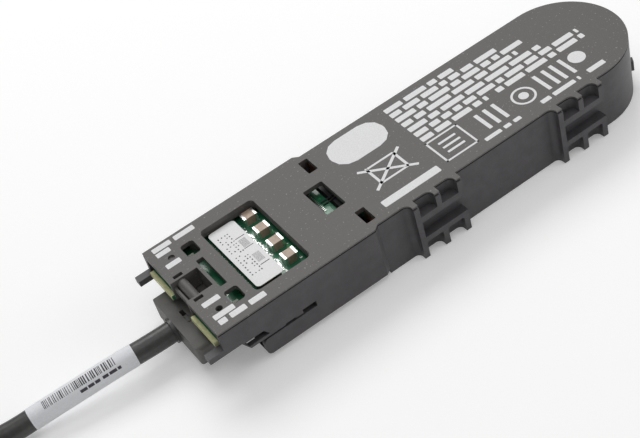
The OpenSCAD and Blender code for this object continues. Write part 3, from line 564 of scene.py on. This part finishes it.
def make_print(ink):
    draw = random.Random(5)
    words = Shapes()
    for x1, x2, low, high in FRONT_WORDS + LONG_LINES + CAPTIONS:
        print_line(words, draw, x1 - 0.2, x2 - 0.2, low, high)
    words.piece("print_lines", ink, "label_paper")

    signs = Shapes()
    print_bar(signs, 57.2, 5.0, 75.6, 16.7, 5.5)
    print_bar(signs, 57.0, -15.8, 76.0, -13.1, 0.4)
    # Two crossed bars over a plain tub, which stand for the large sign
    for turn in (35, -35):
        x, y = cover_place(66.3, -4)
        along = Vector((math.cos(math.radians(turn)), math.sin(math.radians(turn))))
        across = Vector((-along.y, along.x))
        corners = [(8.6, -0.45), (8.6, 0.45), (-8.6, 0.45), (-8.6, -0.45)]
        outline = [(x + (along.x * u + across.x * v) * MM, y + (along.y * u + across.y * v) * MM)
                   for u, v in corners]
        signs.prism(outline, TOP - PRINT_T, TOP + PRINT_T)
    for y in (-7.4, 0.1):
        print_bar(signs, 62, y - 0.35, 71, y + 0.35)
    print_bar(signs, 61.4, -7.7, 62.2, 0.5)
    print_bar(signs, 70.6, -7.2, 71.4, -0.1)
    for x1, y1, x2, y2 in FRAME_BARS + UPRIGHT_BARS:
        print_bar(signs, x1, y1, x2, y2)
    # A ring round a dot, and a disc
    x, y = cover_place(109.9, -9.4)
    signs.ring(x, y, 3.7 * MM, 3.0 * MM, TOP - PRINT_T, TOP + PRINT_T)
    signs.prism(circle(x, y, 1.5 * MM), TOP - PRINT_T, TOP + PRINT_T)
    x, y = cover_place(130.4, -8.2)
    signs.prism(circle(x, y, 2.6 * MM), TOP - PRINT_T, TOP + PRINT_T)
    signs.piece("print_signs", ink, "label_paper")


# ---- Board and its small parts ----
# Places are millimetres behind the cover's front edge and off its middle.

# Pads under the lamp windows, the slot and the middle window
LAMP_PADS = [(9.6, 12.5), (10.8, 12.0), (12.0, 12.6), (9.8, -11.2), (10.9, -12.0), (12.1, -11.4),
             (10.6, -5.6), (46.3, -2.2), (48.4, -3.1), (49.4, 2.4)]
# Round marks in brighter mask: x, y and radius
MASK_DOTS = [(10.5, 6.1, 0.7), (31.9, 4.6, 0.6), (32.0, -3.2, 0.7), (33.0, -11.5, 0.5),
             (46.2, 4.8, 0.5), (48.3, 5.4, 0.4)]
NOTCH_HALF = 5.15 * MM
MARGIN = 1.15 * MM
SKIN = 0.02 * MM

def make_laminate(material):
    """The bare margin along the board's front edge, on both sides of the notch."""
    margin = Shapes()
    outer = BOARD_HIGH.y + SKIN
    for low, high in ((NOTCH_HALF, outer), (-outer, -NOTCH_HALF)):
        margin.block((BOARD_LOW.x - SKIN, low, BOARD_LOW.z - SKIN),
                     (BOARD_LOW.x + MARGIN, high, BOARD_TOP + SKIN))
    margin.piece("board_margin", material, "board_laminate")


def blocks_on_board(name, material, slot, rows, height):
    """Small parts on the board, from their places and half sizes in millimetres."""
    shapes = Shapes()
    for x, y, a, b in rows:
        cx, cy = cover_place(x, y)
        shapes.block((cx - a * MM, cy - b * MM, BOARD_TOP - SKIN),
                     (cx + a * MM, cy + b * MM, BOARD_TOP + height * MM))
    shapes.piece(name, material, slot)


def make_board_parts(made, mask):
    draw = random.Random(3)
    label_low, label_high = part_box("part_label")
    edge = (label_low.x - FRONT) / MM
    far_edge = (label_high.x - FRONT) / MM
    # Solder pads between the label and the capacitors, behind them, and under the small windows
    pads = [(far_edge + draw.uniform(0.5, 1.6), 14.2 - 0.62 * i, draw.uniform(0.15, 0.35),
             draw.uniform(0.12, 0.3)) for i in range(44)]
    pads += [(32.2 + draw.uniform(-0.5, 0.4), 13 - 1.5 * i + draw.uniform(-0.5, 0.5),
              draw.uniform(0.15, 0.4), draw.uniform(0.15, 0.35)) for i in range(18)]
    pads += [(x, y, 0.25, 0.35) for x, y in LAMP_PADS]
    blocks_on_board("solder_pads", made["tinned_metal"], "tinned_metal", pads, 0.06)
    # Resistors and capacitors beside the label
    small = [(edge - 0.55, 12.4 - 2.05 * i, 0.42, 0.6) for i in range(13)]
    blocks_on_board("small_capacitors", made["capacitor_ceramic"], "capacitor_ceramic", small[::2], 0.7)
    blocks_on_board("small_resistors", made["chip_epoxy"], "chip_epoxy", small[1::2], 0.45)
    ends = [(x, y + side * 0.62, 0.44, 0.14) for x, y, _, _ in small for side in (-1, 1)]
    blocks_on_board("small_part_ends", made["tinned_metal"], "tinned_metal", ends, 0.5)
    dots = Shapes()
    for x, y, r in MASK_DOTS:
        cx, cy = cover_place(x, y)
        dots.prism(circle(cx, cy, r * MM, 20), BOARD_TOP - SKIN, BOARD_TOP + 0.12 * MM)
    dots.piece("board_dots", mask, "board_laminate")


def make_label_print(ink):
    """Bars and rows of dots on the paper label over the board."""
    low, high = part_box("part_label")
    draw = random.Random(8)
    shapes = Shapes()
    top = high.z
    length = high.y - low.y

    def bar(along, start, end, width):
        y = high.y - along * length
        shapes.block((low.x + start * MM, y - width * MM / 2, top - PRINT_T),
                     (low.x + end * MM, y + width * MM / 2, top + PRINT_T))

    for along, width in ((0.27, 0.22), (0.45, 0.2), (0.76, 0.24)):
        bar(along, 5.0, 7.9, width)
    for i in range(11):
        bar(0.31 + 0.012 * i, 5.2, 7.4, 0.07)
        bar(0.58 + 0.013 * i, 5.2, 7.4, 0.07)
    for row in (1.3, 2.4, 3.5, 4.3):
        for i in range(16):
            if draw.random() < 0.7:
                bar(0.14 + 0.045 * i, row, row + 0.35, draw.uniform(0.25, 0.5))
    shapes.piece("label_marks", ink, "label_paper")


# ---- Light and floor ----

FLOOR_WHITE = 0.22
FLOOR_HALF = 4.0
FLOOR_DROP = 0.0002


def backdrop_material():
    """A pale floor, which the camera and the reflections see a little whiter."""
    material = bpy.data.materials.new("floor")
    material.use_nodes = True
    nodes, links = material.node_tree.nodes, material.node_tree.links
    shader = nodes["Principled BSDF"]
    shader.inputs["Base Color"].default_value = (0.9, 0.9, 0.9, 1)
    shader.inputs["Roughness"].default_value = 0.9
    shader.inputs["Specular IOR Level"].default_value = 0.1
    rays = nodes.new("ShaderNodeLightPath")
    seen = nodes.new("ShaderNodeMath")
    seen.operation = "MAXIMUM"
    links.new(rays.outputs["Is Camera Ray"], seen.inputs[0])
    links.new(rays.outputs["Is Glossy Ray"], seen.inputs[1])
    amount = nodes.new("ShaderNodeMath")
    amount.operation = "MULTIPLY"
    amount.inputs[1].default_value = FLOOR_WHITE
    links.new(seen.outputs[0], amount.inputs[0])
    glow = nodes.new("ShaderNodeEmission")
    links.new(amount.outputs[0], glow.inputs["Strength"])
    add = nodes.new("ShaderNodeAddShader")
    links.new(shader.outputs[0], add.inputs[0])
    links.new(glow.outputs[0], add.inputs[1])
    links.new(add.outputs[0], nodes["Material Output"].inputs["Surface"])
    return material


def make_floor():
    mesh = bpy.data.meshes.new("floor")
    corners = [(-FLOOR_HALF, -FLOOR_HALF, 0), (FLOOR_HALF, -FLOOR_HALF, 0),
               (FLOOR_HALF, FLOOR_HALF, 0), (-FLOOR_HALF, FLOOR_HALF, 0)]
    mesh.from_pydata(corners, [], [(0, 1, 2, 3)])
    mesh.materials.append(backdrop_material())
    floor = bpy.data.objects.new("floor", mesh)
    floor.location.z = -FLOOR_DROP
    bpy.context.collection.objects.link(floor)


def area_light(name, place, target, size, power):
    data = bpy.data.lights.new(name, "AREA")
    data.shape = "RECTANGLE"
    data.size, data.size_y = size
    data.energy = power
    light = bpy.data.objects.new(name, data)
    light.location = place
    light.rotation_mode = "QUATERNION"
    light.rotation_quaternion = (Vector(target) - Vector(place)).to_track_quat("-Z", "Y")
    bpy.context.collection.objects.link(light)


def make_world():
    world = bpy.data.worlds.new("world")
    world.use_nodes = True
    bpy.context.scene.world = world
    background = world.node_tree.nodes["Background"]
    background.inputs["Color"].default_value = (1, 1, 1, 1)
    background.inputs["Strength"].default_value = 0.3


def make_lights():
    area_light("key", (0.2, 0.75, 0.9), (0, 0, 0), (0.9, 0.6), 6.5)
    area_light("top", (-0.1, -0.1, 1.1), (0, 0, 0), (0.8, 0.8), 2.2)
    area_light("side", (0.8, -0.5, 0.5), (0.03, 0, 0.01), (0.5, 0.5), 1.6)


make_camera()
bpy.context.scene.view_settings.view_transform = "Standard"
materials = {slot: make() for slot, make in MATERIALS.items()}
dress_nodes(materials)
make_cable(materials["cable_jacket"])
wrap_paper = paper_material("wrap_paper", (0.84, 0.85, 0.88))
dark_ink = ink_material("dark_ink", (0.06, 0.055, 0.07))
white_ink = ink_material("white_ink", (0.82, 0.82, 0.83))
bright_mask = Look("bright_mask", (0.07, 0.36, 0.12), 0.3)
bright_mask.mottle(bright_mask.noise(900, 2), 0.2)
make_wrap(wrap_paper, dark_ink)
make_print(white_ink)
make_laminate(laminate_edge_material())
make_board_parts(materials, bright_mask.material)
make_label_print(dark_ink)
make_floor()
make_world()
make_lights()
